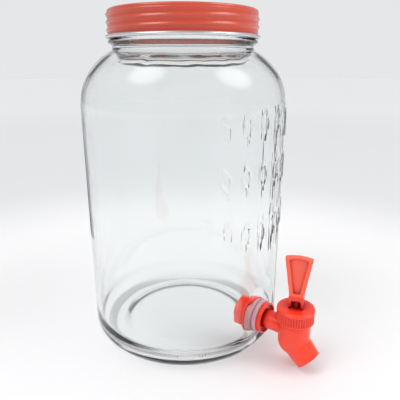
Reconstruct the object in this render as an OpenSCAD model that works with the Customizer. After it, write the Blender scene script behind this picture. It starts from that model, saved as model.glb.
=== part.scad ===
// Glass drink dispenser: a jar with a screw lid and a spring-loaded lever tap.
// Millimetres, +Z up. The origin is the centre of the foot ring; the tap points along -Y.

/* [Jar] */
// Outer diameter of the straight body
body_d = 152; // [140:1:170]
// Thickness of the glass wall
glass_wall = 4; // [3:0.25:5]
// Radius of the heel between body and foot
heel_r = 15; // [12:0.5:18]
// Width of the flat ring that the jar stands on
foot_w = 7; // [5:0.5:10]
// Height that the middle of the base is pushed up
push_up_h = 3; // [2:0.5:5]
// Height where the shoulder starts
shoulder_z = 185; // [170:1:200]
// Height where the shoulder meets the neck
neck_z = 222; // [214:1:226]
// Power of the shoulder's curve, 1 for an ellipse
shoulder_fall = 1.5; // [1:0.1:2]

/* [Neck finish] */
// Diameter of the neck at the root of the thread
neck_d = 101.6; // [96:0.2:103]
// Thickness of the neck's glass
neck_wall = 4.3; // [3.5:0.1:5]
// Height of the neck above the shoulder
neck_h = 24.4; // [22:0.2:28]
// Height of the bead ring's middle above the shoulder
bead_rise = 5.8; // [5:0.1:6.5]
// Height of the bead ring
bead_h = 3.8; // [3:0.1:4.2]
// How far the bead ring stands out
bead_out = 3.0; // [2:0.1:3.5]
// Pitch of the thread
thread_pitch = 5.08; // [4:0.01:5.5]
// How far the glass thread stands out
thread_out = 1.5; // [1:0.1:1.7]
// Turns of the glass thread
thread_turns = 1.6; // [1.2:0.1:1.8]
// Radius of the rim's rounded edges
rim_r = 1.2; // [0.8:0.1:1.6]

/* [Lid] */
// Radial room between the glass thread and the lid's skirt
thread_room = 0.8; // [0.5:0.1:1.2]
// Thickness of the tinplate
tin_t = 0.5; // [0.4:0.05:0.7]
// Radius of the rolled curl at the lower edge
curl_r = 1.15; // [1:0.05:1.3]
// Radius of the lid's top edge
lid_edge_r = 1.8; // [1.2:0.1:2.4]
// Height of the lowest ridge above the curl
ridge_rise = 2.9; // [2.4:0.1:3.4]
// How far the rolled ridges stand out
ridge_out = 0.7; // [0.4:0.1:0.8]
// Depth of the panel in the lid's top
panel_depth = 0.8; // [0.5:0.1:1]
// Thickness of the sealing liner
liner_t = 1; // [0.8:0.1:1.4]
// How far the liner reaches inside the neck's rim
liner_reach = 1; // [0.5:0.1:3]

/* [Tap place] */
// Height of the tap's axis above the foot
tap_z = 29; // [28:0.5:34]
// Depth of the flat boss below the body's curve
boss_depth = 2.5; // [2:0.1:3]
// Radius of the flat boss
boss_r = 16; // [15:0.5:17]
// Radial gap between the hole in the glass and the tap's shank
hole_gap = 0.5; // [0.3:0.1:1]

/* [Tap] */
// Thickness of each silicone washer
washer_t = 3; // [2:0.25:3.5]
// Diameter of the silicone washers
washer_d = 25.6; // [24:0.2:27]
// Diameter over the shank's thread
shank_d = 16; // [15:0.1:16.2]
// Diameter of the waterway in the shank
waterway_d = 9; // [7:0.5:9.5]
// Diameter of the tap's flange
flange_d = 23.4; // [22:0.2:25]
// Thickness of the tap's flange
flange_t = 3.5; // [3:0.25:4]
// Outer diameter of the groove in the flange's face
groove_d = 20.4; // [18:0.2:20.6]
// Depth of the groove in the flange's face
groove_depth = 2; // [1:0.25:2.5]
// Diameter of the arm between flange and valve chamber
arm_d = 14; // [12:0.5:14.5]
// Length of the arm from the flange to the valve's axis
arm_l = 22.5; // [21:0.5:26]
// How far the shank passes the nut
shank_past = 2; // [1:0.5:4]
// Outer diameter of the valve chamber
chamber_d = 23; // [22:0.2:24.4]
// Wall of the valve chamber
chamber_wall = 3; // [2.5:0.1:3.5]
// Step in from the chamber to its threaded neck
chamber_step = 1; // [0.8:0.1:1.4]
// Depth of the seat's floor below the tap's axis
seat_drop = 5.5; // [5:0.1:6]
// Diameter of the hole through the seat
seat_hole_d = 9; // [8:0.25:9.5]
// Height of the raised lip round the seat
seat_lip_h = 1; // [0.6:0.1:1.2]
// Depth of the spout's axis below the tap's axis, where it leaves the valve's axis
spout_drop = 8; // [7:0.1:8.5]
// Length of the spout along its own axis
spout_l = 17.8; // [16:0.1:18.5]
// Outer diameter of the spout at its end
spout_d = 18.6; // [18:0.2:20]
// How far the flat under the chamber's back stands out past the radius of the spout's end
spout_back = 0.4; // [0.2:0.1:0.8]
// Bore of the spout
spout_bore_d = 14; // [12:0.5:15]

/* [Nut] */
// Size of the hexagon across its corners
nut_corners = 25.6; // [24:0.2:27]
// Length of the hexagon
nut_l = 8.5; // [6:0.5:10]
// Diameter of the nut's flange
nut_flange_d = 28; // [26:0.5:29]
// Thickness of the nut's flange
nut_flange_t = 2; // [1.5:0.25:2.5]

/* [Bonnet] */
// How far the bonnet's ribs stand out past the chamber
bonnet_out = 2.1; // [1.8:0.1:2.6]
// Height of the bonnet's lower edge above the tap's axis
bonnet_rise = 8; // [7.5:0.1:8.5]
// Height of the bonnet
bonnet_h = 11; // [10.5:0.1:12]
// Thickness of the bonnet's top plate
bonnet_plate = 3.4; // [3:0.1:4]
// Number of ribs round the bonnet
rib_n = 44; // [36:1:52]
// Depth of the grooves between the ribs
rib_depth = 0.5; // [0.3:0.05:0.6]

/* [Valve] */
// Diameter of the stem
stem_d = 5; // [4.6:0.1:5.4]
// Height of the lever's pin above the bonnet's top
pin_rise = 4.2; // [4:0.1:4.6]
// Diameter of the lever's pin
pin_d = 2.4; // [2:0.1:2.6]
// Diameter of the seat cup
cup_d = 13; // [12:0.25:14]
// Height of the seat cup
cup_h = 6; // [5.5:0.25:6.5]
// Diameter of the stem's foot button
button_d = 7.6; // [7:0.1:8.4]
// Height of the stem's foot button
button_h = 2; // [1.5:0.1:2.5]
// Height of silicone over the foot button
button_cover = 1.5; // [1:0.1:2]
// Height of the stem's head above the pin
stem_head = 2.8; // [2.4:0.1:3.2]
// Wire of the return spring
spring_wire = 0.9; // [0.7:0.1:1]
// Mean diameter of the return spring
spring_d = 9.4; // [8.6:0.2:10]
// Turns of the return spring
spring_turns = 5; // [4:0.5:6]

/* [Lever] */
// Turn of the lever about the stem, from straight out
lever_swivel = 19; // [-30:1:30]
// Thickness of each cheek of the lever's foot
cheek_w = 2.45; // [2.2:0.05:3.2]
// Depth of the lever's foot in front of the pin
foot_front = 4.4; // [4.2:0.1:5]
// Height of the paddle's start above the pin
paddle_z = 6.4; // [5:0.1:7]
// Height of the paddle's top above the pin
paddle_top = 35.2; // [30:0.2:40]
// Width of the paddle's top
paddle_w = 19; // [16:0.2:22]
// Distance of the paddle's front face in front of the pin
paddle_front = 3.2; // [2.8:0.1:3.6]
// Thickness of the paddle
paddle_t = 4.4; // [4:0.1:5]
// Rise of the arc along the paddle's top
paddle_arc = 1.3; // [0.8:0.1:2]
// Border left round the paddle's recess
recess_border = 3; // [2:0.1:3.4]
// Depth of the paddle's recess
recess_depth = 1.4; // [0.8:0.1:2]
// Farthest tilt of the lever in degrees
tilt_max = 45; // [35:1:50]
// Lift of the stem for each radian of tilt
lift_per_rad = 4; // [3.5:0.1:4.2]

/* [Clearances] */
// Gap between pieces that move past each other
move_gap = 0.3; // [0.2:0.05:0.4]
// Radial gap of a pin or button that turns in its hole
pin_gap = 0.05; // [0.03:0.01:0.09]
// Radial gap between threaded pieces that are screwed together
screw_gap = 0.2; // [0.1:0.05:0.3]

/* [Hidden] */

body_r = body_d / 2;
neck_r = neck_d / 2;
rim_z = neck_z + neck_h;
bead_z = neck_z + bead_rise;
lid_top_z = rim_z + move_gap + liner_t + tin_t + panel_depth;
curl_z = bead_z + bead_h / 2 + move_gap;
ridge_z0 = curl_z + 2 * curl_r + ridge_rise;
skirt_r = neck_r + thread_out + thread_room + tin_t;
boss_x = body_r - boss_depth;
boss_inner_x = boss_x - glass_wall;
hole_d = shank_d + 2 * hole_gap;
flange_x = boss_x + washer_t;
valve_x = flange_x + flange_t + arm_l;
nut_x = boss_inner_x - washer_t;
shank_end_x = nut_x - nut_flange_t - nut_l - shank_past;
seat_z = tap_z - seat_drop;
spout_z = tap_z - spout_drop;
chamber_r = chamber_d / 2 - chamber_wall;
chamber_neck_r = chamber_d / 2 - chamber_step;
bonnet_r = chamber_d / 2 + bonnet_out;
bonnet_z = tap_z + bonnet_rise;
bonnet_top = bonnet_z + bonnet_h;
plate_z = bonnet_top - bonnet_plate;
pin_z = bonnet_top + pin_rise;
cup_z = seat_z + seat_lip_h + move_gap;
cup_top = cup_z + cup_h;
button_z = cup_top - button_cover - button_h;
stem_top = pin_z + stem_head;
slot_r = stem_d / 2 + move_gap;
foot_block_w = 2 * (slot_r + cheek_w);

// Everything of the tap is drawn pointing along +X and turned to point along -Y.
module at_tap() rotate([0, 0, -90]) children();
module at_valve() at_tap() translate([valve_x, 0, 0]) children();
module at_lever() at_valve() translate([0, 0, pin_z]) rotate([0, 0, lever_swivel]) children();
// Lays a cylinder or extrusion along +X
module along_x() rotate([0, 90, 0]) children();

// Points of a circular arc about [x, y], from angle a0 to a1
function arc(x, y, r, a0, a1, n) =
    [for (i = [0:n]) let (a = a0 + (a1 - a0) * i / n) [x + r * cos(a), y + r * sin(a)]];

// The shoulder as [r, z] points, from the body up to the neck, moved in by the wall w
function shoulder(w, n) =
    [for (i = [0:n]) let (t = 90 * i / n)
        [neck_r + (body_r - neck_r) * pow(max(cos(t), 0), shoulder_fall) - w,
         shoulder_z + (neck_z - shoulder_z - w) * sin(t)]];

// A helical ridge of trapezoid section round the neck, with its ends run out into the root
module helix_ridge(root_r, out, half_w, pitch, turns, z0, steps) {
    n = round(steps * turns);
    function fade(i) = min(1, 4 * min(i, n - i) / steps + 0.05);
    pts = [for (i = [0:n]) let (a = 360 * i / steps, z = z0 + pitch * i / steps, f = fade(i))
        for (q = [[-0.6, -half_w], [out * f, -half_w * 0.35], [out * f, half_w * 0.35], [-0.6, half_w]])
            [(root_r + q[0]) * cos(a), (root_r + q[0]) * sin(a), z + q[1]]];
    sides = [for (i = [0:n - 1]) for (k = [0:3])
        [4 * i + k, 4 * (i + 1) + k, 4 * (i + 1) + (k + 1) % 4, 4 * i + (k + 1) % 4]];
    last = 4 * n;
    polyhedron(pts, concat(sides, [[0, 1, 2, 3]], [[last + 3, last + 2, last + 1, last]]), convexity = 4);
}

module jar_glass() color([0.86, 0.9, 0.88, 0.35]) {
    foot_r = body_r - heel_r;
    inner_heel = heel_r - glass_wall;
    base_t = glass_wall + 2;
    push_up_slope = 8;
    bead_r = neck_r + bead_out;
    thread_drop = 3;
    outer = concat(
        [[0, push_up_h], [foot_r - foot_w - push_up_slope, push_up_h], [foot_r - foot_w, 0]],
        arc(foot_r, heel_r, heel_r, -90, 0, 12),
        shoulder(0, 16),
        [[neck_r, bead_z - bead_h / 2], [bead_r - bead_out * 0.2, bead_z - bead_h * 0.4]],
        [[bead_r, bead_z - bead_h * 0.2], [bead_r, bead_z + bead_h * 0.2]],
        [[bead_r - bead_out * 0.2, bead_z + bead_h * 0.4], [neck_r, bead_z + bead_h / 2]],
        arc(neck_r - rim_r, rim_z - rim_r, rim_r, 0, 90, 4));
    inner = concat(
        arc(neck_r - neck_wall + rim_r, rim_z - rim_r, rim_r, 90, 180, 4),
        [for (i = [16:-1:0]) let (p = shoulder(glass_wall, 16)[i]) [max(p[0], neck_r - neck_wall), p[1]]],
        arc(foot_r, heel_r, inner_heel, 0, -60, 6),
        [[0, base_t + push_up_h]]);
    difference() {
        union() {
            difference() {
                union() {
                    rotate_extrude($fn = 120) polygon(concat(outer, inner));
                    helix_ridge(neck_r, thread_out, 1.6, thread_pitch, thread_turns,
                        rim_z - thread_drop - thread_pitch * thread_turns, 48);
                }
                at_tap() translate([boss_x, 0, tap_z]) along_x()
                    cylinder(r = boss_r, h = boss_depth + 5, $fn = 64);
            }
            at_tap() translate([boss_inner_x, 0, tap_z]) along_x()
                cylinder(r = boss_r + 1, h = glass_wall - 1, $fn = 64);
        }
        at_tap() translate([boss_inner_x - 5, 0, tap_z]) along_x()
            cylinder(d = hole_d, h = glass_wall + 10, $fn = 64);
    }
}

module lid_shell() color([0.93, 0.35, 0.28]) {
    r = skirt_r;
    corner = lid_edge_r;
    flank = 1.3;
    ridge = [for (k = [0:2]) for (q = [[0, -flank], [ridge_out, -0.45], [ridge_out, 0.45], [0, flank]])
        [r + q[0], ridge_z0 + k * thread_pitch + q[1]]];
    skirt_z = curl_z + curl_r;
    panel_r = r - 6;
    outer = concat([[r, skirt_z]], ridge, arc(r - corner, lid_top_z - corner, corner, 0, 90, 4),
        [[panel_r, lid_top_z], [panel_r - 1, lid_top_z - panel_depth], [0, lid_top_z - panel_depth]]);
    under_z = lid_top_z - panel_depth - tin_t;
    inner = concat([[0, under_z], [r - corner - tin_t, under_z], [r - tin_t, lid_top_z - corner - tin_t]],
        [for (i = [11:-1:0]) [ridge[i][0] - tin_t, ridge[i][1]]], [[r - tin_t, skirt_z]]);
    union() {
        rotate_extrude($fn = 120) polygon(concat(outer, inner));
        rotate_extrude($fn = 120) translate([r - tin_t + curl_r, skirt_z]) circle(r = curl_r, $fn = 24);
    }
}

module lid_liner() color([0.95, 0.95, 0.92]) {
    liner_z = lid_top_z - panel_depth - tin_t - liner_t;
    translate([0, 0, liner_z]) difference() {
        cylinder(r = skirt_r - tin_t - lid_edge_r - move_gap, h = liner_t, $fn = 96);
        translate([0, 0, -1]) cylinder(r = neck_r - neck_wall - liner_reach, h = liner_t + 2, $fn = 96);
    }
}

// The tapered spout along its own axis, from the valve's axis out and down at 45 degrees
module spout_axis(s) translate([0, 0, spout_z]) rotate([0, 135, 0]) translate([0, 0, s]) children();

module tap_body() color([1, 0.38, 0.3]) at_tap() difference() {
    chamber_or = chamber_d / 2;
    flat_l = 7;
    union() {
        translate([shank_end_x, 0, tap_z]) along_x()
            cylinder(d = shank_d, h = flange_x - shank_end_x + 1, $fn = 48);
        translate([flange_x, 0, tap_z]) along_x() difference() {
            cylinder(d = flange_d, h = flange_t, $fn = 64);
            translate([0, 0, flange_t - groove_depth])
                cylinder(d = groove_d, h = groove_depth + 1, $fn = 64);
        }
        translate([flange_x, 0, tap_z]) along_x() cylinder(d = arm_d, h = valve_x - flange_x, $fn = 48);
        translate([valve_x, 0, 0]) {
            rotate_extrude($fn = 64) polygon(concat(
                arc(0, spout_z, chamber_or, -90, 0, 10),
                [[chamber_or, bonnet_z], [chamber_neck_r, bonnet_z]],
                [[chamber_neck_r, plate_z], [0, plate_z]]));
            spout_axis(0) cylinder(r1 = chamber_or - 0.9, r2 = spout_d / 2, h = spout_l, $fn = 64);
        }
    }
    translate([shank_end_x - 1, 0, tap_z]) along_x()
        cylinder(d = waterway_d, h = valve_x - shank_end_x, $fn = 32);
    translate([valve_x, 0, 0]) {
        // Flat under the chamber's back, in line with the spout's back
        spout_axis(-flat_l) translate([spout_d / 2 + spout_back, -chamber_or, 0])
            cube([chamber_or, chamber_d, flat_l + spout_l]);
        difference() {
            translate([0, 0, seat_z]) cylinder(r = chamber_r, h = plate_z - seat_z + 1, $fn = 48);
            translate([0, 0, seat_z - 1]) cylinder(d = seat_hole_d + 3, h = 1 + seat_lip_h, $fn = 48);
        }
        translate([0, 0, spout_z - 7]) cylinder(d = seat_hole_d, h = 14, $fn = 48);
        spout_axis(6) cylinder(d = spout_bore_d, h = spout_l, $fn = 48);
    }
}

module shank_nut() color([1, 0.45, 0.38]) at_tap()
    translate([nut_x - nut_flange_t - nut_l, 0, tap_z]) along_x() difference() {
        union() {
            cylinder(d = nut_corners, h = nut_l + nut_flange_t / 2, $fn = 6);
            translate([0, 0, nut_l]) cylinder(d = nut_flange_d, h = nut_flange_t, $fn = 64);
        }
        translate([0, 0, -1]) cylinder(d = shank_d + 2 * screw_gap, h = nut_l + nut_flange_t + 2, $fn = 48);
    }

module washer(x) at_tap() translate([x, 0, tap_z]) along_x() difference() {
    cylinder(d = washer_d, h = washer_t, $fn = 64);
    translate([0, 0, -1]) cylinder(d = shank_d + 2 * screw_gap, h = washer_t + 2, $fn = 48);
}
module inner_washer() color([0.9, 0.87, 0.88, 0.7]) washer(nut_x);
module outer_washer() color([0.9, 0.87, 0.88, 0.7]) washer(boss_x);

module bonnet_cap() color([1, 0.38, 0.3]) at_valve() difference() {
    r = bonnet_r;
    collar_h = 1.4;
    cap_h = 2.6;
    ribs = [for (i = [0:4 * rib_n - 1]) let (a = 90 * i / rib_n)
        (r - 0.15 - (i % 4 < 2 ? 0 : rib_depth)) * [cos(a), sin(a)]];
    union() {
        translate([0, 0, bonnet_z]) cylinder(r = r - rib_depth - 0.5, h = bonnet_h - cap_h, $fn = 64);
        translate([0, 0, bonnet_z + collar_h]) linear_extrude(bonnet_h - collar_h - cap_h) polygon(ribs);
        translate([0, 0, bonnet_top - cap_h]) rotate_extrude($fn = 64)
            polygon(concat([[0, 0], [r, 0]], arc(r - 1.6, cap_h - 1.6, 1.6, 0, 90, 5), [[0, cap_h]]));
    }
    translate([0, 0, bonnet_z - 1])
        cylinder(r = chamber_neck_r + screw_gap, h = plate_z - bonnet_z + 1, $fn = 64);
    translate([0, 0, plate_z - 1]) cylinder(d = stem_d + 2 * move_gap, h = bonnet_plate + 2, $fn = 32);
}

module seat_cup() color([0.92, 0.92, 0.9]) at_valve() difference() {
    r = cup_d / 2;
    plug_r = seat_hole_d / 2 - 0.6;
    translate([0, 0, cup_z]) rotate_extrude($fn = 48)
        polygon([[0, -0.9], [plug_r - 0.6, -0.7], [plug_r, 0], [r, 0], [r, 2], [r - 1.2, cup_h], [0, cup_h]]);
    translate([0, 0, button_z - pin_gap])
        cylinder(d = button_d + 2 * pin_gap, h = button_h + 2 * pin_gap, $fn = 48);
    translate([0, 0, button_z]) cylinder(d = stem_d + 2 * pin_gap, h = cup_h, $fn = 32);
}

module valve_stem() color([0.8, 0.1, 0.08]) at_valve() difference() {
    union() {
        translate([0, 0, button_z]) cylinder(d = button_d, h = button_h, $fn = 48);
        translate([0, 0, button_z]) cylinder(d = stem_d, h = stem_top - button_z, $fn = 48);
    }
    translate([0, 0, pin_z]) rotate([0, 0, lever_swivel]) along_x()
        translate([0, 0, -stem_d]) cylinder(d = pin_d, h = 2 * stem_d, $fn = 24);
}

// Round wire wound as a helix, drawn as a tube of eight sides
module return_spring() color([0.75, 0.76, 0.78]) at_valve() {
    steps = 16;
    n = round(steps * spring_turns);
    w = spring_wire / 2;
    z0 = cup_top + w;
    rise = plate_z - w - move_gap - z0;
    pts = [for (i = [0:n]) let (a = 360 * i / steps)
        for (k = [0:7]) let (b = 45 * k, r = spring_d / 2 + w * cos(b))
            [r * cos(a), r * sin(a), z0 + rise * i / n + w * sin(b)]];
    sides = [for (i = [0:n - 1]) for (k = [0:7])
        [8 * i + k, 8 * i + (k + 1) % 8, 8 * (i + 1) + (k + 1) % 8, 8 * (i + 1) + k]];
    polyhedron(pts, concat(sides, [[for (k = [7:-1:0]) k]], [[for (k = [0:7]) 8 * n + k]]), convexity = 10);
}

module handle_pin() color([0.8, 0.8, 0.82]) at_lever() along_x()
    translate([0, 0, -foot_block_w / 2]) cylinder(d = pin_d, h = foot_block_w, $fn = 24);

// Lays an outline drawn in [back, up] across the lever, centred on its width
module across(w) rotate([90, 0, 90]) translate([0, 0, -w / 2]) linear_extrude(w) children();

module handle_lever() color([1, 0.38, 0.3]) at_lever() difference() {
    h0 = pin_rise - move_gap;
    k = lift_per_rad;
    // The cam keeps the foot on the bonnet at every tilt: its reach grows by k for each radian
    cam = [for (i = [0:10]) let (t = tilt_max * i / 10, h = h0 + k * t * PI / 180)
        [h * sin(t) + k * cos(t), -h * cos(t) + k * sin(t)]];
    back = paddle_t - paddle_front;
    foot_half = foot_block_w / 2;
    head_r = norm([stem_d / 2, stem_head]) + move_gap;
    slot_l = 12;
    window_top = 2.1;
    recess_foot = 1;
    recess_top = 1.2;
    ledge_h = 1.2;
    window_r = slot_r + 0.6;
    top_arc = [for (i = [-6:6]) [paddle_w / 2 * i / 6, paddle_top - paddle_arc * pow(i / 6, 2)]];
    inset_arc = [for (p = top_arc)
        [p[0] * (1 - 2 * recess_border / paddle_w), p[1] - recess_top]];
    union() {
        across(foot_block_w) polygon(concat(
            [[-foot_front, -h0 + 0.6], [-foot_front + 0.6, -h0]], cam,
            [cam[10] + [0.1, 1.8], [6, 3.4], [2.8, paddle_z + 0.4], [back, paddle_z + 3],
             [-paddle_front, paddle_z + ledge_h], [-foot_front, paddle_z]]));
        translate([0, back, 0]) rotate([90, 0, 0]) linear_extrude(paddle_t)
            polygon(concat([[-foot_half, paddle_z - 1], [-foot_half, paddle_z]],
                top_arc, [[foot_half, paddle_z], [foot_half, paddle_z - 1]]));
    }
    // Recess in the paddle's front
    translate([0, recess_depth - paddle_front, 0]) rotate([90, 0, 0]) linear_extrude(recess_depth + 1)
        polygon(concat([[recess_border - foot_half, paddle_z + recess_foot]], inset_arc,
            [[foot_half - recess_border, paddle_z + recess_foot]]));
    // Slot that the stem swings in, and room for its head
    across(2 * slot_r) polygon([[-slot_r, 0], [-slot_r, -h0 - 1], [slot_l, -h0 - 1], [slot_l, 1],
        [slot_r * cos(tilt_max) + 1, slot_r * sin(tilt_max) + 1], [0, head_r], [-slot_r, head_r * 0.7]]);
    across(2 * slot_r) circle(r = head_r, $fn = 32);
    // Window in the front, open at the bottom, so that the foot is a fork
    translate([-window_r, -foot_front - 1, -h0 - 1])
        cube([2 * window_r, foot_front, h0 + 1 + window_top]);
    // Pin hole through both cheeks
    along_x() translate([0, 0, -foot_block_w])
        cylinder(d = pin_d + 2 * pin_gap, h = 2 * foot_block_w, $fn = 24);
}

jar_glass();
lid_shell();
lid_liner();
tap_body();
shank_nut();
inner_washer();
outer_washer();
bonnet_cap();
seat_cup();
valve_stem();
return_spring();
handle_pin();
handle_lever();
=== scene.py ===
# %% [markdown]
# # A glass drink jar with a screw lid and a lever tap
# The jar is blown in a mould, the lid is pressed from tinplate and lacquered, and the tap is moulded plastic.
# The CAD solids are loaded first as a fixed frame. Every new surface is then worked out in the same frame,
# in metres, so that a piece goes where the CAD says and rides on the body that carries it.

import bmesh
import bpy
import numpy as np
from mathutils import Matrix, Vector


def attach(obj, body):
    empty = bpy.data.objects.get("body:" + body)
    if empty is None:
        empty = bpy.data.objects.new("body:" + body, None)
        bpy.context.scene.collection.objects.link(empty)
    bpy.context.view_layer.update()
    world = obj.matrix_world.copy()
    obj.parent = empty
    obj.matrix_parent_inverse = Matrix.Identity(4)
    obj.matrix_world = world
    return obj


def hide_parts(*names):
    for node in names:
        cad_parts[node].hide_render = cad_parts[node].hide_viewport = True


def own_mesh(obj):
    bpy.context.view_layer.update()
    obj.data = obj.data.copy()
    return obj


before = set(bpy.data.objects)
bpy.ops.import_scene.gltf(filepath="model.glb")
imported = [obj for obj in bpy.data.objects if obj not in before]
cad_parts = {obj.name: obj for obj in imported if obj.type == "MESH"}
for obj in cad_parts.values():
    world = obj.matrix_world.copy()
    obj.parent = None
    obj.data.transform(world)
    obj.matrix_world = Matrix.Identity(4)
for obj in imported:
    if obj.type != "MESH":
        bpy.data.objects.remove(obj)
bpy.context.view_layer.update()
MM = 0.001
print("CAD nodes:", sorted(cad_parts))

# %% [markdown]
# ## Sizes
# A fitter keeps one list of the sizes that several pieces share. These are the CAD's own, in millimetres:
# the jar's body and neck, the lid that screws on it, and the tap with its two axes. The tap points along -Y,
# its shank axis lies at TAP_Z and its valve stands upright at VALVE_Y.

# %% The shared sizes
BODY_R, SHOULDER_Z, NECK_Z, RIM_Z = 76.0, 185.0, 222.0, 246.4
NECK_R, NECK_WALL, GLASS_WALL = 50.8, 4.3, 4.0
HEEL_R, FOOT_W, PUSH_UP = 15.0, 7.0, 3.0
BEAD_Z, BEAD_OUT, THREAD_PITCH, THREAD_OUT = 227.8, 3.0, 5.08, 1.5
LID_TOP, SKIRT_R, TIN, CURL_R, CURL_Z = 249.0, 53.6, 0.5, 1.15, 230.0
TAP_Z, BOSS_Y, VALVE_Y, HOLE_R = 29.0, -73.5, -102.5, 8.5
BONNET_Z, BONNET_TOP, BONNET_R = 37.0, 48.0, 13.6
WASHER_BORE, WASHER_R, WASHER_T, OUTER_FACE, INNER_FACE = 8.2, 12.8, 3, 73.5, 66.5
NUT_R, NUT_Z, NUT_FLANGE_Z = 12.8, 56, 64.2
print("jar", 2 * BODY_R, "mm across, lid top at", LID_TOP, "mm, valve axis at", VALVE_Y, "mm")

# %% [markdown]
# ## Surfaces from arrays
# Each shell here is a grid of points: one direction runs along a profile, the other round an axis. Numpy works
# out all points at once, and one helper turns the grid into a mesh, joins the seam and closes the poles.


# %% A grid of points becomes a mesh
def grid_piece(name, points, wrap=True, loop=False):
    """Quads between neighbouring points of an (n, m, 3) array in mm. The second direction closes on itself
    when wrap is set, the first one when loop is set. Points that coincide, as at a pole, are merged."""
    n, m = points.shape[:2]
    index = np.arange(n * m).reshape(n, m)
    if wrap:
        index = np.hstack([index, index[:, :1]])
    if loop:
        index = np.vstack([index, index[:1]])
    quads = np.stack([index[:-1, :-1], index[:-1, 1:], index[1:, 1:], index[1:, :-1]], -1).reshape(-1, 4)
    mesh = bpy.data.meshes.new(name)
    mesh.from_pydata(points.reshape(-1, 3) * MM, [], quads)
    piece = bpy.data.objects.new(name, mesh)
    bpy.context.scene.collection.objects.link(piece)
    tidy_mesh(piece)
    return piece


def tidy_mesh(piece, merge=1e-6):
    """Merges doubles, turns the faces outwards and shades them smooth."""
    work = bmesh.new()
    work.from_mesh(piece.data)
    bmesh.ops.remove_doubles(work, verts=work.verts, dist=merge)
    bmesh.ops.recalc_face_normals(work, faces=work.faces)
    work.to_mesh(piece.data)
    work.free()
    piece.data.polygons.foreach_set("use_smooth", [True] * len(piece.data.polygons))
    piece.data.update()


def turned(profile, angles, spread=None):
    """A lathe: each (r, z) of the profile goes once round the axis. spread(r, z, angle) may move the radius."""
    r, z = np.asarray(profile, float).T
    a = np.asarray(angles, float)
    rr, zz, aa = np.broadcast_arrays(r[:, None], z[:, None], a[None, :])
    if spread is not None:
        rr = rr + spread(rr, zz, aa)
    return np.stack([rr * np.cos(aa), rr * np.sin(aa), zz], -1)


def round_the_axis(steps):
    """Even angles once round, the first one not repeated."""
    return np.linspace(0, 2 * np.pi, steps, endpoint=False)


def bend(x, z, r, a0, a1, n):
    """n + 1 points on an arc of radius r about (x, z), from angle a0 to a1 in degrees."""
    a = np.radians(np.linspace(a0, a1, n + 1))
    return np.stack([x + r * np.cos(a), z + r * np.sin(a)], -1)


def resampled(path, step):
    """The same path with points no farther apart than step, corners kept."""
    path = np.asarray(path, float)
    counts = np.maximum(1, np.ceil(np.linalg.norm(np.diff(path, axis=0), axis=1) / step)).astype(int)
    legs = [np.linspace(path[i], path[i + 1], c, endpoint=False) for i, c in enumerate(counts)]
    return np.vstack(legs + [path[-1:]])


def relaxed(path, passes):
    """Moves each inner point half way to the middle of its neighbours, passes times, so that corners turn
    round."""
    path = np.array(path, float)
    for _ in range(passes):
        path[1:-1] = 0.5 * path[1:-1] + 0.25 * (path[:-2] + path[2:])
    return path


def smooth_step(x, low, high):
    """0 below low, 1 above high, and an even S between them."""
    t = np.clip((x - low) / (high - low), 0, 1)
    return t * t * (3 - 2 * t)


print("surface helpers ready")

# %% [markdown]
# ## Material helpers
# Colours are picked as sRGB hex values, the way a painter's chart gives them. Blender works with linear light,
# so one function converts them. Another adds any node with its settings and links, which keeps each material
# a short list.


# %% Colours and nodes
def linear(hex_colour):
    """sRGB hex to linear RGBA."""
    c = np.array([int(hex_colour[i:i + 2], 16) for i in (1, 3, 5)]) / 255
    c = np.where(c <= 0.04045, c / 12.92, ((c + 0.055) / 1.055) ** 2.4)
    return (*c.tolist(), 1.0)


def add(material, kind, settings=None, **links):
    """Adds a node: settings set its attributes, or its sockets by name or number; links join its sockets, by
    name or as i and a number, to (node, output) pairs."""
    node = material.node_tree.nodes.new(kind)
    for key, value in (settings or {}).items():
        if isinstance(key, int) or key in node.inputs:
            node.inputs[key].default_value = value
        else:
            setattr(node, key, value)
    for key, (source, output) in links.items():
        socket = node.inputs[int(key[1:])] if key[0] == "i" and key[1:].isdigit() else node.inputs[key]
        material.node_tree.links.new(source.outputs[output], socket)
    return node


def new_material(name):
    """A material with its nodes on, and its shader node."""
    material = bpy.data.materials.new(name)
    material.use_nodes = True
    return material, material.node_tree.nodes["Principled BSDF"]


def feed(material, shader, **links):
    """Joins (node, output) pairs to the shader's sockets; an underscore stands for a blank."""
    for key, (source, output) in links.items():
        material.node_tree.links.new(source.outputs[output], shader.inputs[key.replace("_", " ")])


def stops(ramp, pairs):
    """Sets a colour ramp's stops from (place, hex) pairs."""
    elements = ramp.color_ramp.elements
    while len(elements) < len(pairs):
        elements.new(1.0)
    for element, (place, colour) in zip(elements, pairs):
        element.position = place
        element.color = linear(colour)
    return ramp


print("material helpers ready")

# %% [markdown]
# ## Jar glass
# Soda-lime glass, blown in an iron mould: IOR 1.52, clear with a faint green-grey cast from iron in the sand.
# The mould and the cooling skin leave slow upright waves a few centimetres apart, so a low bump stretched along
# the height bends what is seen through the wall. Light that travels far inside the wall, as at the edges, comes
# out darker, which a volume that absorbs light gives by itself. The foot is knurled with 190 fine ticks.


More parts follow.
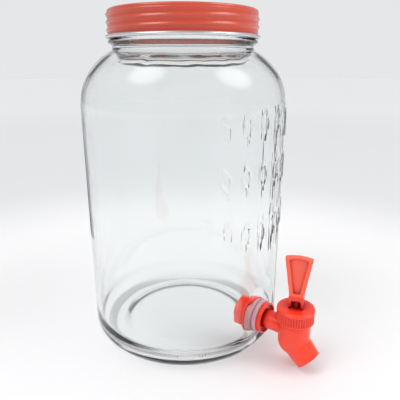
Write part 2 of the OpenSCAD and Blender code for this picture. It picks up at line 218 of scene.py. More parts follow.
# %% Glass
def blown_glass():
    """Clear glass with slow waves in its skin, knurled below 4.5 mm and beyond 61 mm from the middle."""
    material, shader = new_material("soda_lime_glass_blown")
    place = add(material, "ShaderNodeTexCoord")
    tall = add(material, "ShaderNodeMapping", {"Scale": (1, 1, 0.12)}, Vector=(place, "Object"))
    waves = add(material, "ShaderNodeTexNoise", {"Scale": 45, "Detail": 1.5, "Roughness": 0.4},
                Vector=(tall, "Vector"))
    fine = add(material, "ShaderNodeTexNoise", {"Scale": 220, "Detail": 1}, Vector=(place, "Object"))
    cast = stops(add(material, "ShaderNodeValToRGB", None, Fac=(waves, "Fac")),
                 [(0.3, "#FCFEFD"), (0.7, "#FEFFFF")])
    gloss = add(material, "ShaderNodeMapRange", {"To Min": 0.0, "To Max": 0.02}, Value=(fine, "Fac"))
    slow = add(material, "ShaderNodeBump", {"Strength": 0.25, "Distance": 0.0012}, Height=(waves, "Fac"))
    parts = add(material, "ShaderNodeSeparateXYZ", None, Vector=(place, "Object"))
    turn = add(material, "ShaderNodeMath", {"operation": "ARCTAN2"}, i0=(parts, "Y"), i1=(parts, "X"))
    count = add(material, "ShaderNodeMath", {"operation": "MULTIPLY", 1: 190.0}, i0=(turn, "Value"))
    tick = add(material, "ShaderNodeMath", {"operation": "SINE"}, i0=(count, "Value"))
    low = add(material, "ShaderNodeMapRange", {"From Min": 0.0045, "From Max": 0.003}, Value=(parts, "Z"))
    reach = add(material, "ShaderNodeVectorMath", {"operation": "LENGTH"}, i0=(place, "Object"))
    out = add(material, "ShaderNodeMapRange", {"From Min": 0.061, "From Max": 0.063}, Value=(reach, "Value"))
    band = add(material, "ShaderNodeMath", {"operation": "MULTIPLY"}, i0=(low, "Result"), i1=(out, "Result"))
    knurl = add(material, "ShaderNodeMath", {"operation": "MULTIPLY"}, i0=(tick, "Value"), i1=(band, "Value"))
    bump = add(material, "ShaderNodeBump", {"Strength": 0.5, "Distance": 0.0004}, Height=(knurl, "Value"),
               Normal=(slow, "Normal"))
    shader.inputs["IOR"].default_value = 1.52
    shader.inputs["Transmission Weight"].default_value = 1.0
    feed(material, shader, Base_Color=(cast, "Color"), Roughness=(gloss, "Result"), Normal=(bump, "Normal"))
    depth = add(material, "ShaderNodeVolumeAbsorption", {"Color": linear("#B9C0C4"), "Density": 6.0})
    material.node_tree.links.new(depth.outputs[0], material.node_tree.nodes["Material Output"].inputs["Volume"])
    return material


glass = blown_glass()
print("made", glass.name)

# %% [markdown]
# ## Tap plastic
# The tap is moulded ABS in a bright coral. A mirror-finished mould gives a glossy skin with a very faint
# orange peel. Light goes into the plastic and comes out redder the farther it went. Grooves and corners are
# painted shade: how open a point is, measured over 7 mm, sets the colour, a deep red in corners and a light
# coral on open faces. The foot of the lever is painted deeper below a set height, as painted shade too.


# %% Moulded plastic
def moulded_plastic(name, deep, colour, lit, rough=0.2, peel=0.00002, shade_below=None):
    """Colour follows openness as painted shade: corners are painted deep and open faces lit. The last argument
    gives two heights in metres; from the upper down to the lower one the plastic is painted deeper as shade."""
    material, shader = new_material(name)
    place = add(material, "ShaderNodeTexCoord")
    cloud = add(material, "ShaderNodeTexNoise", {"Scale": 60, "Detail": 3}, Vector=(place, "Object"))
    grain = add(material, "ShaderNodeTexNoise", {"Scale": 900, "Detail": 2}, Vector=(place, "Object"))
    # Painted shade: openness over 7 mm darkens grooves and corners in the colour.
    open_to = add(material, "ShaderNodeAmbientOcclusion", {"samples": 8, "Distance": 0.007})
    openness = add(material, "ShaderNodeMath", {"operation": "MULTIPLY_ADD", 1: 0.12}, i0=(cloud, "Fac"),
                   i2=(open_to, "AO"))
    # Painted shade: below the given heights the colour turns deeper, as at the lever's foot.
    if shade_below:
        height = add(material, "ShaderNodeSeparateXYZ", None, Vector=(place, "Object"))
        thin = add(material, "ShaderNodeMapRange", {"From Min": shade_below[0], "From Max": shade_below[1],
                                                    "To Min": 0.78}, Value=(height, "Z"))
        openness = add(material, "ShaderNodeMath", {"operation": "MULTIPLY"}, i0=(openness, "Value"),
                       i1=(thin, "Result"))
    tone = stops(add(material, "ShaderNodeValToRGB", None, Fac=(openness, 0)),
                 [(0.5, deep), (0.86, colour), (1.0, lit)])
    gloss = add(material, "ShaderNodeMapRange", {"To Min": rough - 0.05, "To Max": rough + 0.08},
                Value=(cloud, "Fac"))
    bump = add(material, "ShaderNodeBump", {"Strength": 0.3, "Distance": peel}, Height=(grain, "Fac"))
    shader.inputs["IOR"].default_value = 1.52
    shader.inputs["Subsurface Weight"].default_value = 0.25
    shader.inputs["Subsurface Radius"].default_value = (1.0, 0.25, 0.15)
    shader.inputs["Subsurface Scale"].default_value = 0.002
    feed(material, shader, Base_Color=(tone, "Color"), Roughness=(gloss, "Result"), Normal=(bump, "Normal"))
    return material


coral_abs = moulded_plastic("coral_abs_moulded", "#B00A00", "#F62E14", "#FD4428")
# Painted light: the lever's copy is lighter than the body's; painted shade deepens its foot from 59.2 mm down to
# 57.2 mm.
lever_abs = moulded_plastic("coral_abs_moulded_lever", "#B00A00", "#FB4028", "#FF684E",
                            shade_below=(0.0572, 0.0592))
# Painted shade: the stem's copy of the coral plastic is painted darker than the body's.
stem_abs = moulded_plastic("stem_coral_abs_painted_shade", "#8A0A04", "#B81A0C", "#CC2414", rough=0.35)
print("made", coral_abs.name, lever_abs.name, stem_abs.name)

# %% [markdown]
# ## Lid lacquer and bare tin
# The lid is tinplate, 0.5 mm thick, rolled and pressed after it was lacquered in coral. The lacquer is a thin
# glossy coat over metal. It ends above the curl, where the sheet's edge was left bare for rolling, so the curl
# shows tin: a pale grey metal with fine marks that run round the lid, half a millimetre apart.


# %% Lacquer and tin
def coral_lacquer():
    """Lacquer under a thin clear coat, with painted shade: deeper in colour in the grooves between the ridges."""
    material, shader = new_material("coral_lacquer_on_tinplate")
    place = add(material, "ShaderNodeTexCoord")
    cloud = add(material, "ShaderNodeTexNoise", {"Scale": 35, "Detail": 4}, Vector=(place, "Object"))
    grain = add(material, "ShaderNodeTexNoise", {"Scale": 1500, "Detail": 1}, Vector=(place, "Object"))
    # Painted shade: openness over 4 mm darkens the grooves between the ridges in the colour.
    open_to = add(material, "ShaderNodeAmbientOcclusion", {"samples": 8, "Distance": 0.004})
    openness = add(material, "ShaderNodeMath", {"operation": "MULTIPLY_ADD", 1: 0.08}, i0=(cloud, "Fac"),
                   i2=(open_to, "AO"))
    tone = stops(add(material, "ShaderNodeValToRGB", None, Fac=(openness, 0)),
                 [(0.5, "#A01E0A"), (0.88, "#C63A1E"), (1.0, "#D44A2E")])
    gloss = add(material, "ShaderNodeMapRange", {"To Min": 0.2, "To Max": 0.28}, Value=(cloud, "Fac"))
    bump = add(material, "ShaderNodeBump", {"Strength": 0.1, "Distance": 0.00001}, Height=(grain, "Fac"))
    shader.inputs["Coat Weight"].default_value = 0.5
    shader.inputs["Coat Roughness"].default_value = 0.15
    feed(material, shader, Base_Color=(tone, "Color"), Roughness=(gloss, "Result"), Normal=(bump, "Normal"))
    return material


def rolled_metal(name, colour, shade, rough, spacing_mm, along=(1, 1, 40)):
    """A metal whose noise is squeezed by the factors along. Squeezed 40 times up the height, it gives marks that
    are spacing_mm apart; not squeezed, it gives soft clouds."""
    material, shader = new_material(name)
    place = add(material, "ShaderNodeTexCoord")
    drawn = add(material, "ShaderNodeMapping", {"Scale": along}, Vector=(place, "Object"))
    marks = add(material, "ShaderNodeTexNoise", {"Scale": 25 / spacing_mm, "Detail": 3},
                Vector=(drawn, "Vector"))
    tone = stops(add(material, "ShaderNodeValToRGB", None, Fac=(marks, "Fac")), [(0.3, shade), (0.7, colour)])
    gloss = add(material, "ShaderNodeMapRange", {"To Min": rough - 0.06, "To Max": rough + 0.08},
                Value=(marks, "Fac"))
    bump = add(material, "ShaderNodeBump", {"Strength": 0.25, "Distance": 0.00002}, Height=(marks, "Fac"))
    shader.inputs["Metallic"].default_value = 1.0
    feed(material, shader, Base_Color=(tone, "Color"), Roughness=(gloss, "Result"), Normal=(bump, "Normal"))
    return material


lacquer = coral_lacquer()
bare_tin = rolled_metal("bare_tin_rolled", "#EEF0F1", "#D3D6D9", 0.28, 0.5)
spring_steel = rolled_metal("stainless_wire_drawn", "#C9CBCD", "#A5A8AB", 0.25, 0.3, (1, 1, 1))
print("made", lacquer.name, bare_tin.name, spring_steel.name)

# %% [markdown]
# ## Silicone and sealing ring
# The washers are clear silicone, which scatters light inside, so they look milky. The coral of the tap beside
# them is painted into their colour as painted light. The ring in the lid is a pale foamed compound with tiny
# pores, with painted shade in its corners.


# %% Silicone and liner
def clear_silicone():
    """Milky clear rubber: light enters, scatters and leaves a few millimetres away. Its pink is painted light
    from the coral tap.
    """
    material, shader = new_material("clear_silicone_moulded")
    place = add(material, "ShaderNodeTexCoord")
    cloud = add(material, "ShaderNodeTexNoise", {"Scale": 150, "Detail": 3}, Vector=(place, "Object"))
    # Painted light: the pale pink stands in for coral light from the tap beside the washers.
    tone = stops(add(material, "ShaderNodeValToRGB", None, Fac=(cloud, "Fac")),
                 [(0.3, "#F2C2C6"), (0.7, "#E6AEB6")])
    gloss = add(material, "ShaderNodeMapRange", {"To Min": 0.25, "To Max": 0.4}, Value=(cloud, "Fac"))
    bump = add(material, "ShaderNodeBump", {"Strength": 0.2, "Distance": 0.00003}, Height=(cloud, "Fac"))
    shader.inputs["IOR"].default_value = 1.41
    shader.inputs["Transmission Weight"].default_value = 0.25
    shader.inputs["Subsurface Weight"].default_value = 0.6
    shader.inputs["Subsurface Radius"].default_value = (1.0, 0.7, 0.7)
    shader.inputs["Subsurface Scale"].default_value = 0.004
    feed(material, shader, Base_Color=(tone, "Color"), Roughness=(gloss, "Result"), Normal=(bump, "Normal"))
    return material


silicone = clear_silicone()
# Painted shade: the liner gets the same openness colouring, deeper in its corners.
liner_foam = moulded_plastic("pale_sealing_compound_poured", "#C9C3B4", "#E4DFD3", "#ECE8DE",
                             rough=0.55, peel=0.00008)
print("made", silicone.name, liner_foam.name)

# %% [markdown]
# ## Jar profile
# A blown jar is a shell of even wall. Its outside starts at the pushed-up base, turns round the foot ring and
# the heel, runs straight up, falls in over the shoulder and ends in the neck with a bead and a screw thread.
# The inside comes back down at wall distance. Both together are one closed profile.


# %% The closed jar profile
def shoulder_curve(inset, n):
    """r falls from body to neck as cos(t) to the power 1.5, while z rises as sin(t), for t from 0 to 90
    degrees. inset mm are taken off both."""
    t = np.radians(np.linspace(0, 90, n))
    r = NECK_R + (BODY_R - NECK_R) * np.clip(np.cos(t), 0, 1) ** 1.5 - inset
    return np.stack([r, SHOULDER_Z + (NECK_Z - SHOULDER_Z - inset) * np.sin(t)], -1)


def jar_outside():
    """Flat raised base, foot, quarter-round heel, straight body with closer rows where the leaves stand, then
    shoulder and neck, relaxed where they meet, and a half-round rim."""
    foot = BODY_R - HEEL_R
    base = np.array([[0, PUSH_UP], [foot - FOOT_W - 8, PUSH_UP],
                     [foot - FOOT_W - 1, 0.35], [foot - FOOT_W + 1, 0.0]])
    heel = bend(foot, HEEL_R, HEEL_R, -90, 0, 14)
    body = resampled([[BODY_R, HEEL_R + 1.2], [BODY_R, 50]], 1.2)
    rows = np.vstack([resampled([[BODY_R, 52.4], [BODY_R, 89]], 2.4),
                      resampled([[BODY_R, 90], [BODY_R, SHOULDER_Z - 0.6]], 0.75)])
    neck = resampled([[NECK_R, NECK_Z + 0.8], [NECK_R, RIM_Z - 1.8]], 0.55)
    rim = bend(NECK_R - 1.6, RIM_Z - 1.6, 1.6, 0, 90, 6)
    shoulder = relaxed(np.vstack([shoulder_curve(0, 30), neck[:8]]), 10)
    return np.vstack([resampled(base, 6), heel, body, rows, shoulder, neck[8:], rim])


def jar_inside():
    """The inner heel turns through a full quarter with a 16 mm radius before the floor rises to its middle."""
    inner_neck, inner_body = NECK_R - NECK_WALL, BODY_R - GLASS_WALL
    rim = bend(inner_neck + 1.6, RIM_Z - 1.6, 1.6, 90, 180, 6)
    neck = np.vstack([resampled([[inner_neck, RIM_Z - 3], [inner_neck, NECK_Z + 4]], 5),
                      resampled([[inner_neck, NECK_Z + 2], [inner_neck, NECK_Z - 3]], 1.5)])
    shoulder = shoulder_curve(GLASS_WALL, 24)[::-1]
    shoulder[:, 0] = np.maximum(shoulder[:, 0], inner_neck)
    wall = resampled([[inner_body, SHOULDER_Z - 4], [inner_body, 25]], 8)
    heel = bend(inner_body - 16, 22, 16, 0, -90, 12)
    s = np.linspace(0, 1, 12)[1:]
    floor = np.stack([heel[-1, 0] * (1 - s), heel[-1, 1] + PUSH_UP * (3 * s ** 2 - 2 * s ** 3)], -1)
    return np.vstack([rim, relaxed(np.vstack([neck, shoulder]), 14), wall, heel, floor])


outside, inside = jar_outside(), jar_inside()
print("jar profile:", len(outside), "points outside,", len(inside), "inside")

# %% [markdown]
# ## Raised pattern on the glass
# The front of such a jar carries raised glass lines from the mould. Here they are plain leaf outlines in three
# rows. A leaf is two arcs that meet at its tip. The height of the glass at a point depends only on its distance
# from the nearest line, so the pattern is worked out as distances.


# %% Leaves as distances
def stroke_height(u, z, path, width, height):
    """Largest smooth ridge of the given width and height over the legs of a path, at points (u, z) in mm."""
    best = np.full(u.shape, 1e9)
    for a, b in zip(path[:-1], path[1:]):
        d = b - a
        t = np.clip(((u - a[0]) * d[0] + (z - a[1]) * d[1]) / (d @ d + 1e-9), 0, 1)
        best = np.minimum(best, np.hypot(u - a[0] - t * d[0], z - a[1] - t * d[1]))
    return height * (1 - smooth_step(best, width * 0.15, width * 0.75))


def leaf_path(x, z, angle, length, side):
    """One side of a leaf: a shallow arc from (x, z) to its tip, bowed to the given side."""
    t = np.linspace(0, 1, 6)
    along, out = length * t, side * 0.22 * length * np.sin(np.pi * t)
    c, s = np.cos(np.radians(angle)), np.sin(np.radians(angle))
    return np.stack([x + along * c - out * s, z + along * s + out * c], -1)


def leaf_row(half_width, z_mid, bow, tall, leaves):
    """One row of leaf outlines as paths in (arc length, height). They stand on a gentle arc, their tips lean
    outwards, and each one has a short stalk."""
    paths = []
    for place in np.linspace(-half_width, half_width, leaves):
        z = z_mid + bow * (1 - (place / half_width) ** 2) - tall / 2
        lean = 90 - 14 * place / half_width
        paths += [leaf_path(place, z, lean, tall, side) for side in (1, -1)]
        paths.append(np.array([[place, z], [place, z - 0.18 * tall]]))
    return paths


ROWS = [leaf_row(38, 174.0, 3.0, 16, 6), leaf_row(38, 142.0, 0.5, 16, 6), leaf_row(50, 112.0, -12.0, 16, 8)]
print("leaf paths:", sum(len(row) for row in ROWS))

# %% [markdown]
# ## Thread, bead and tap place
# The rest of the relief follows rules too: the bead is a round ring below the thread, the thread is a ridge
# that climbs one pitch a turn and fades out at both ends, and the tap sits on a flat that is pressed into the
# curve of the wall.


# %% The height of the glass
def glass_relief(r, z, a):
    """Added radius: bead, thread, tap flat and leaves, each a function of height z and angle a."""
    outer = (r > NECK_R - 0.01)
    bead = BEAD_OUT * np.clip(1 - ((z - BEAD_Z) / 2.1) ** 2, 0, 1) ** 0.75
    first = RIM_Z - 3 - THREAD_PITCH * 1.6
    turn = np.mod(a, 2 * np.pi) / (2 * np.pi)
    thread = np.zeros(z.shape)
    for k in range(2):
        travel = turn + k
        ridge = 1 - smooth_step(np.abs(z - first - THREAD_PITCH * travel), 0.5, 1.6)
        ends = smooth_step(travel, 0, 0.12) * (1 - smooth_step(travel, 1.48, 1.6))
        thread = np.maximum(thread, THREAD_OUT * ridge * ends)
    neck = np.where(outer & (z > NECK_Z) & (z < RIM_Z - 1.7), bead + thread, 0)
    side = np.mod(a + np.pi / 2 + np.pi, 2 * np.pi) - np.pi
    reach = np.hypot(r * np.sin(side), z - TAP_Z)
    flat = np.where(np.cos(side) > 0.5, -BOSS_Y / np.maximum(np.cos(side), 0.5), 1e9)
    target = np.where(r > BODY_R - GLASS_WALL / 2, flat, flat - GLASS_WALL / np.maximum(np.cos(side), 0.5))
    pull = (1 - smooth_step(reach, 13.0, 34.0)) * (np.cos(side) > 0.5)
    press = np.where(r > 40, -0.4 * pull * np.log1p(np.exp(np.clip((r - target) / 0.4, -30, 30))), 0)
    leaves = np.zeros(z.shape)
    near = outer & (z > 88) & (z < SHOULDER_Z) & (np.abs(side) < 0.85)
    u, h = side[near] * BODY_R, z[near]
    lift = np.zeros(u.shape)
    for row in ROWS:
        for path in row:
            box = ((u > path[:, 0].min() - 2) & (u < path[:, 0].max() + 2)
                   & (h > path[:, 1].min() - 2) & (h < path[:, 1].max() + 2))
            lift[box] = np.maximum(lift[box], stroke_height(u[box], h[box], path, 1.6, 0.6))
    leaves[near] = lift
    return neck + press + leaves


def jar_angles():
    """Angles round the jar: half a degree apart across the leaves, nearly four degrees apart elsewhere."""
    middle = -np.pi / 2
    fine = np.radians(np.arange(-44, 44.01, 0.5))
    rest = np.radians(np.linspace(44.5, 315.5, 72))
    return middle + np.concatenate([fine, rest])


jar_points = turned(np.vstack([outside, inside]), jar_angles(), glass_relief)
jar = grid_piece("jar_blown_glass", jar_points)
print("jar:", len(jar.data.polygons), "faces")

# %% [markdown]
# ## Hole for the tap
# The hole is drilled through the flat after the jar has cooled. The Boolean modifier takes a cylinder out of the
# wall, and it is applied so that the jar's mesh is final.


# %% Drill the hole
def along_tap(points):
    """Turns a lathe about Z into one along the tap's axis: its +Z becomes -Y and it moves to TAP_Z."""
    x, y, z = points[..., 0], points[..., 1], points[..., 2]
    return np.stack([x, -z, TAP_Z + y], -1)


def apply_modifier(piece, kind, **settings):
    """Adds one modifier, applies it and leaves the mesh final."""
    modifier = piece.modifiers.new(kind.lower(), kind)
    for key, value in settings.items():
        setattr(modifier, key, value)
    with bpy.context.temp_override(object=piece, active_object=piece, selected_objects=[piece]):
        bpy.ops.object.modifier_apply(modifier=modifier.name)


drill = grid_piece("drill", along_tap(turned([[0, 60], [HOLE_R, 60], [HOLE_R, 80], [0, 80]], round_the_axis(64))))
apply_modifier(jar, "BOOLEAN", operation="DIFFERENCE", object=drill, solver="EXACT")
bpy.data.objects.remove(drill)
tidy_mesh(jar, 1e-7)
jar.data.materials.append(glass)
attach(jar, "jar")
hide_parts("jar_glass")
jar.visible_shadow = False  # clear glass lets the light through, which traced shadows would not
print("jar after drilling:", len(jar.data.polygons), "faces")

# %% [markdown]
# ## Lid
# The skirt has three rolled ridges that climb like the thread behind them, so their height is a function of
# z minus one pitch a turn. The lower edge is rolled outwards into a curl, and the top has a shallow panel.


# %% The lid shell
def lid_profile():
    """Outside from the centre of the top to the curl, round the curl, and back up inside at sheet distance."""
    under = LID_TOP - 0.8 - TIN
    curl_x, curl_c = SKIRT_R - TIN + CURL_R, CURL_Z + CURL_R
    panel = SKIRT_R - 6
    top = np.vstack([[[0, LID_TOP - 0.8], [panel - 1.6, LID_TOP - 0.8]],
                     bend(panel - 1.4, LID_TOP - 0.3, 0.5, -90, -20, 3), [[panel - 0.2, LID_TOP]]])
    edge = bend(SKIRT_R - 1.8, LID_TOP - 1.8, 1.8, 90, 0, 8)
    start = np.degrees(np.arccos((SKIRT_R - curl_x) / CURL_R))
    skirt = [[SKIRT_R, LID_TOP - 2.2], [SKIRT_R, curl_c + CURL_R * np.sin(np.radians(start)) + 0.02]]
    curl = bend(curl_x, curl_c, CURL_R, start - 2, -180, 22)
    inner = [[SKIRT_R - TIN, curl_c + 0.4], [SKIRT_R - TIN, LID_TOP - 1.8 - TIN]]
    corner = bend(SKIRT_R - 1.8 - TIN, LID_TOP - 1.8 - TIN, 1.4, 0, 80, 4)
    below = [[SKIRT_R - 2.6, under], [panel - 1.5, under], [0, under]]
    return np.vstack([resampled(np.vstack([top, edge]), 3), resampled(skirt, 0.4), curl,
                      resampled(inner, 0.5), corner, below])


def lid_ridges(r, z, a):
    """Three rounded ridges 5.08 mm apart that climb one pitch a turn anticlockwise and fade where they end."""
    turn = np.mod(a - np.radians(20), 2 * np.pi) / (2 * np.pi)
    lift = np.zeros(z.shape)
    for k in range(-1, 4):
        middle = 233.6 + THREAD_PITCH * (k + turn)
        ridge = np.exp(-((z - middle) / 0.95) ** 2)
        travel = k + turn
        ends = smooth_step(travel, -0.25, 0.0) * (1 - smooth_step(travel, 2.75, 2.95))
        lift = np.maximum(lift, 0.95 * ridge * ends)
    skirt = smooth_step(z, CURL_Z + 2.4, CURL_Z + 3.2) * (1 - smooth_step(z, LID_TOP - 3.2, LID_TOP - 2.2))
    wall = (r > SKIRT_R - TIN - 0.01) & (r < SKIRT_R + 0.01)
    return np.where(wall, lift * skirt, 0)


lid_points = turned(lid_profile(), round_the_axis(200), lid_ridges)
lid = grid_piece("lid_lacquered_tin", lid_points)
lid.data.materials.append(lacquer)
lid.data.materials.append(bare_tin)
centres = np.zeros(len(lid.data.polygons) * 3)
lid.data.polygons.foreach_get("center", centres)
height = centres.reshape(-1, 3)[:, 2] / MM
lid.data.polygons.foreach_set("material_index", (height < CURL_Z + 2 * CURL_R + 0.05).astype(np.int32))
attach(lid, "lid")
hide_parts("lid_shell")
print("lid:", len(lid.data.polygons), "faces")

# %% [markdown]
# ## Tap mouldings
# Moulded parts have no knife edges: every edge is broken by a small radius, and inner corners are filleted.
# The CAD solids of the tap body and the lever have the right form with sharp edges. A merged copy is remeshed
# in small voxels and relaxed a little, which rounds all edges at once.


# %% Rounded copies of the CAD solids
def softened(node, name, voxel_mm, passes):
    """A closed copy of a CAD node, rebuilt from voxels and relaxed so that its edges turn round."""
    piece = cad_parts[node].copy()
    piece.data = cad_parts[node].data.copy()
    piece.name = name
    piece.parent = None
    for key in list(piece.keys()):
        del piece[key]
    bpy.context.scene.collection.objects.link(piece)
    piece.data.materials.clear()
    tidy_mesh(piece, 2e-6)
    apply_modifier(piece, "REMESH", mode="VOXEL", voxel_size=voxel_mm * MM, use_smooth_shade=True)
    apply_modifier(piece, "SMOOTH", factor=0.5, iterations=passes)
    return piece


tap = softened("tap_body", "tap_body_moulding", 0.36, 3)
tap.data.materials.append(coral_abs)
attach(tap, "jar")
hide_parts("tap_body")
lever = softened("handle_lever", "tap_lever_moulding", 0.24, 2)
lever.data.materials.append(lever_abs)
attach(lever, "lever")
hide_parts("handle_lever")
print("tap:", len(tap.data.polygons), "faces; lever:", len(lever.data.polygons), "faces")

# %% [markdown]
# ## Bonnet
# The ribbed cap screws down on the valve. Its ribs are a rounded wave of the radius as a function of angle,
# between a plain collar below and a domed edge above.


# %% The ribbed bonnet
RIBS = 44


def bonnet_profile():
    """The cap's closed section: bore, collar, ribbed wall, quarter-round edge, flat top, stem hole and plate."""
    bore, plate, hole = 10.7, BONNET_TOP - 3.4, 2.8
    out = [[bore, BONNET_Z], [BONNET_R - 0.5, BONNET_Z], [BONNET_R - 0.1, BONNET_Z + 0.4],
           [BONNET_R - 0.1, BONNET_Z + 1.2], [BONNET_R - 0.2, BONNET_Z + 1.6],
           [BONNET_R - 0.2, BONNET_TOP - 2.9], [BONNET_R, BONNET_TOP - 2.4]]
    dome = bend(BONNET_R - 1.8, BONNET_TOP - 1.8, 1.8, 0, 90, 7)
    hub = [[hole + 3.4, BONNET_TOP], [hole + 0.4, BONNET_TOP], [hole, BONNET_TOP - 0.4], [hole, plate],
           [bore, plate]]
    return resampled(np.vstack([out, dome, hub, out[:1]]), 0.8)[:-1]


def bonnet_ribs(r, z, a):
    """44 rounded ribs: the radius drops by up to 0.6 mm between them, only on the outer wall."""
    wave = np.clip(0.5 - 0.75 * np.cos(RIBS * a), 0, 1)
    wall = (smooth_step(z, BONNET_Z + 1.3, BONNET_Z + 1.7)
            * (1 - smooth_step(z, BONNET_TOP - 3.0, BONNET_TOP - 2.5)))
    return np.where(r > BONNET_R - 1, -0.6 * wave * wall, 0)


def at_valve(points):
    """Moves a lathe about Z to the valve's upright axis."""
    return points + np.array([0, VALVE_Y, 0])


bonnet_points = turned(bonnet_profile(), round_the_axis(8 * RIBS), bonnet_ribs)
bonnet = grid_piece("tap_bonnet_ribbed", at_valve(bonnet_points), loop=True)
bonnet.data.materials.append(coral_abs)
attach(bonnet, "jar")
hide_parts("bonnet_cap")
print("bonnet:", len(bonnet.data.polygons), "faces")

# %% [markdown]
# ## Washers and nut
# The washers are plain rings with soft edges, squeezed between nut, glass and flange. The nut is a hexagon with
# rounded corners on a round flange. Its radius is a rounded polygon: the distance to the nearest flat, softened
# where two flats meet.


# %% Washers and nut
def ring_profile(bore, radius, z0, z1, soft=0.5):
    """A closed ring section with four rounded edges."""
    return np.vstack([bend(radius - soft, z0 + soft, soft, -90, 0, 4),
                      bend(radius - soft, z1 - soft, soft, 0, 90, 4),
                      bend(bore + 0.3, z1 - 0.3, 0.3, 90, 180, 3),
                      bend(bore + 0.3, z0 + 0.3, 0.3, 180, 270, 3)])


for name, node, z0 in (("washer_outer_silicone", "outer_washer", OUTER_FACE),
                       ("washer_inner_silicone", "inner_washer", INNER_FACE)):
    ring = turned(ring_profile(WASHER_BORE, WASHER_R, z0, z0 + WASHER_T), round_the_axis(96))
    washer = grid_piece(name, along_tap(ring), loop=True)
    washer.data.materials.append(silicone)
    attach(washer, "jar")
    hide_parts(node)


def hexagon(r, z, a):
    """Pulls the round blank in to a hexagon with softened corners, below the flange only."""
    flat = NUT_R * np.cos(np.pi / 6)
    fold = np.abs(np.mod(a, np.pi / 3) - np.pi / 6)
    edge = flat / np.cos(np.pi / 6 - fold)
    soft = -0.6 * np.log(np.exp(-edge / 0.6) + np.exp(-12.45 / 0.6))
    body = (r > 9.5) & (z < 64.4)
    return np.where(body, np.minimum(soft, edge) * (r / NUT_R) - r, 0)


nut_profile = np.vstack([bend(NUT_R - 0.8, NUT_Z + 0.8, 0.8, -90, 0, 4), [[NUT_R, 60], [NUT_R, NUT_FLANGE_Z]],
                         bend(13.4, 65.1, 0.6, -90, 0, 3), bend(13.4, 65.9, 0.6, 0, 90, 3),
                         [[8.5, INNER_FACE], [WASHER_BORE, 66.2], [WASHER_BORE, 56.4], [8.6, NUT_Z]]])
nut_points = turned(resampled(nut_profile, 2), round_the_axis(180), hexagon)
nut = grid_piece("tap_nut_hexagon", along_tap(nut_points), loop=True)
nut.data.materials.append(coral_abs)
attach(nut, "jar")
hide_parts("shank_nut")
print("nut:", len(nut.data.polygons), "faces")

# %% [markdown]
# ## Return spring
# A helix of round wire, 5 turns of 4.7 mm radius between the seat cup and the bonnet's plate:
# $r = 4.7 + w\cos b$ and $z = z_0 + (z_1 - z_0)\,t + w\sin b$ at the angle $10\pi t$. It rides on the seat cup.

# %% The coiled spring
SPRING_FOOT, SPRING_TOP, WIRE_R, STEM_LIFT = 30.8, 44.3, 0.45, 3.1416


def coil(turns, radius, steps=40, sides=12):
    """Rings of the wire along the helix, as an (n, sides, 3) array: the ring's centre is at radius from the axis
    and climbs evenly with the angle. The first and last ring are drawn in to a point."""
    t = np.linspace(0, 1, turns * steps + 1)
    t = np.concatenate([[0], t, [1]])[:, None]
    w = np.full_like(t, WIRE_R)
    w[[0, -1]] = 0
    b = np.linspace(0, 2 * np.pi, sides, endpoint=False)[None]
    a, r = 2 * np.pi * turns * t, radius + w * np.cos(b)
    z = SPRING_FOOT + WIRE_R + (SPRING_TOP - SPRING_FOOT - 2 * WIRE_R) * t + w * np.sin(b)
    return np.stack([r * np.cos(a), r * np.sin(a), z], -1)


spring = grid_piece("return_spring_wire", at_valve(coil(5, 4.7)))
spring.data.materials.append(spring_steel)
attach(spring, "seat")
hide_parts("return_spring")
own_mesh(spring)
print("spring:", len(spring.data.polygons), "faces")

# %% [markdown]
# ## Pieces kept from the CAD
# The stem, the pin, the seat cup and the sealing ring have their final shape in the CAD already, so they only
# get their materials.

# %% Materials on the CAD pieces
for node, material in (("valve_stem", stem_abs), ("handle_pin", spring_steel), ("seat_cup", silicone),
                       ("lid_liner", liner_foam)):
    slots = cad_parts[node].data.materials
    slots.clear()
    slots.append(material)
print("kept from the CAD: 4 pieces")

# %% [markdown]
# ## Floor, light and camera
# The jar stands on a pale table under a pale sky with two large soft lights in it, high on the left and on the
# right, which the shoulder mirrors. Three area lights fill from above and from both sides of the front. Glass
# shows its edges only where it brings darker surroundings into view, so a grey card stands beside it, which is
# seen in reflections only.


# %% Table
def pale_table():
    """Painted light: white up to 0.24 m from the middle, a painted pool of light round the jar, pale grey from
    0.48 m on, and a little lighter again far out, painted to make up for the light falling off. Painted shade
    darkens narrow gaps under things.
    """
    material, shader = new_material("pale_table_painted")
    place = add(material, "ShaderNodeTexCoord")
    # Painted light: the colour by distance from the middle stands in for how the light falls on the table.
    reach = add(material, "ShaderNodeVectorMath", {"operation": "LENGTH"}, i0=(place, "Object"))
    far = add(material, "ShaderNodeMapRange", {"From Max": 2.0}, Value=(reach, "Value"))
    tone = stops(add(material, "ShaderNodeValToRGB", None, Fac=(far, "Result")),
                 [(0.12, "#F4F4F5"), (0.24, "#E0E1E3"), (0.5, "#E1E2E4"), (1.0, "#E9EAEB")])
    tone.color_ramp.interpolation = "EASE"
    # Painted shadow: narrow gaps under things are darkened in the colour.
    gap = add(material, "ShaderNodeAmbientOcclusion", {"samples": 8, "Distance": 0.001})
    shade = stops(add(material, "ShaderNodeValToRGB", None, Fac=(gap, "AO")),
                  [(0.0, "#C4C8CB"), (0.9, "#FFFFFF")])
    both = add(material, "ShaderNodeMix", {"data_type": "RGBA", "blend_type": "MULTIPLY", 0: 1.0},
               i6=(tone, "Color"), i7=(shade, "Color"))
    material.node_tree.links.new(both.outputs[2], shader.inputs["Base Color"])
    shader.inputs["Roughness"].default_value = 0.6
    return material


table = grid_piece("table", turned([[0, 0], [300, 0], [1200, 0], [6000, 0]], round_the_axis(64)))
table.location.z = -0.00005
table.data.materials.append(pale_table())
print("table ready")

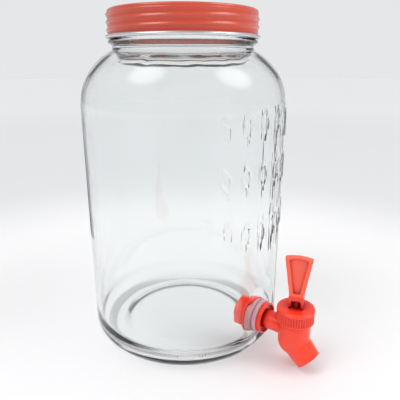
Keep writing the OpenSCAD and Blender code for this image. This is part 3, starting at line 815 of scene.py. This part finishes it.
# %% Sky and lights
world = bpy.data.worlds.new("studio_sky")
bpy.context.scene.world = world
world.use_nodes = True
sky = add(world, "ShaderNodeTexCoord")
lift = add(world, "ShaderNodeSeparateXYZ", None, Vector=(sky, "Generated"))
shades = stops(add(world, "ShaderNodeValToRGB"), [(0.0, "#E4E5E8"), (0.3, "#F4F4F6"), (0.8, "#FFFFFF")])
world.node_tree.links.new(lift.outputs["Z"], shades.inputs["Fac"])
plain = add(world, "ShaderNodeBackground", {"Color": linear("#E6E7E9"), "Strength": 1.0})
lit = world.node_tree.nodes["Background"]
world.node_tree.links.new(shades.outputs["Color"], lit.inputs["Color"])
lit.inputs["Strength"].default_value = 0.64


def glow(towards, cosines, strength, under):
    """Adds a round soft light to the sky: full within the second cosine of the angle off its direction, none
    beyond the first. under is the shader it is added to."""
    off = add(world, "ShaderNodeVectorMath", {"operation": "DOT_PRODUCT", 1: Vector(towards).normalized()},
              i0=(sky, "Generated"))
    edge = add(world, "ShaderNodeMapRange", {"interpolation_type": "SMOOTHSTEP", "From Min": cosines[0],
                                             "From Max": cosines[1], "To Max": strength}, Value=(off, "Value"))
    light = add(world, "ShaderNodeBackground", {"Color": linear("#FFFFFF")}, Strength=(edge, "Result"))
    return add(world, "ShaderNodeAddShader", None, i0=(under, 0), i1=(light, "Background"))


GLOW_COSINES, GLOW_STRENGTH = (0.935, 0.995), 3.8
soft_left = glow((-0.48, 0.253, 0.84), GLOW_COSINES, GLOW_STRENGTH, lit)
soft_right = glow((0.329, -0.598, 0.732), GLOW_COSINES, GLOW_STRENGTH, soft_left)
path = add(world, "ShaderNodeLightPath")
seen = add(world, "ShaderNodeMath", {"operation": "MAXIMUM"}, i0=(path, "Is Camera Ray"),
           i1=(path, "Is Transmission Ray"))
pick = add(world, "ShaderNodeMixShader", None, i0=(seen, "Value"), i1=(soft_right, 0), i2=(plain, "Background"))
world.node_tree.links.new(pick.outputs[0], world.node_tree.nodes["World Output"].inputs["Surface"])


def soft_box(name, place, aim, size, bright):
    """A square area light at place, turned to face aim; bright is its brightness, white being 1. It lights
    things, but neither the camera nor a reflection shows it, so the glass stays free of hard window shapes."""
    light = bpy.data.objects.new(name, bpy.data.lights.new(name, "AREA"))
    light.data.size, light.data.energy = size, bright * np.pi * size ** 2
    light.location = place
    light.rotation_euler = (Vector(aim) - Vector(place)).to_track_quat("-Z", "Y").to_euler()
    light.visible_camera = light.visible_transmission = light.visible_glossy = False
    bpy.context.scene.collection.objects.link(light)


soft_box("overhead", (0.15, 0.1, 1.3), (0, 0, 0.1), 0.6, 0.5)
soft_box("front_right", (0.05, -1.25, 0.42), (0, -0.08, 0.06), 0.8, 1.7)
soft_box("front_left", (-1.2, 0.3, 0.42), (0, -0.08, 0.06), 0.8, 0.5)


def grey_card():
    """Darker towards its foot, from 0.15 m down."""
    material, shader = new_material("grey_card_painted")
    place = add(material, "ShaderNodeTexCoord")
    parts = add(material, "ShaderNodeSeparateXYZ", None, Vector=(place, "Object"))
    rise = add(material, "ShaderNodeMapRange", {"From Max": 0.15}, Value=(parts, "Z"))
    tone = stops(add(material, "ShaderNodeValToRGB", None, Fac=(rise, "Result")),
                 [(0.0, "#4A4E52"), (1.0, "#DCDEE0")])
    feed(material, shader, Base_Color=(tone, "Color"))
    shader.inputs["Roughness"].default_value = 0.9
    return material


FORWARD = (0.7509, 0.5848, -0.3069)
away = np.degrees(np.arctan2(FORWARD[1], FORWARD[0]))
card_points = turned([[230, 4], [230, 150]], np.radians(away + np.linspace(18, 60, 12)))
card = grid_piece("card_grey", card_points, wrap=False)
card.data.materials.append(grey_card())
card.visible_camera = card.visible_diffuse = card.visible_shadow = card.visible_transmission = False
bpy.context.scene.view_settings.view_transform = "Standard"

# %% [markdown]
# ## Camera
# A slightly long lens looks down at the jar from the front left, so that the tap stands at the right of the jar.
# The card beside the jar uses the same direction of view.

# %% Camera
camera = bpy.data.objects.new("camera", bpy.data.cameras.new("camera"))
bpy.context.scene.collection.objects.link(camera)
camera.data.sensor_width = 36.0
camera.data.lens = 38.655
camera.location = (-0.2547, -0.2137, 0.2147)
camera.rotation_euler = Vector(FORWARD).to_track_quat("-Z", "Y").to_euler()
camera.data.clip_start, camera.data.clip_end = 0.01, 50
bpy.context.scene.camera = camera
print("camera at", tuple(round(v, 4) for v in camera.location))
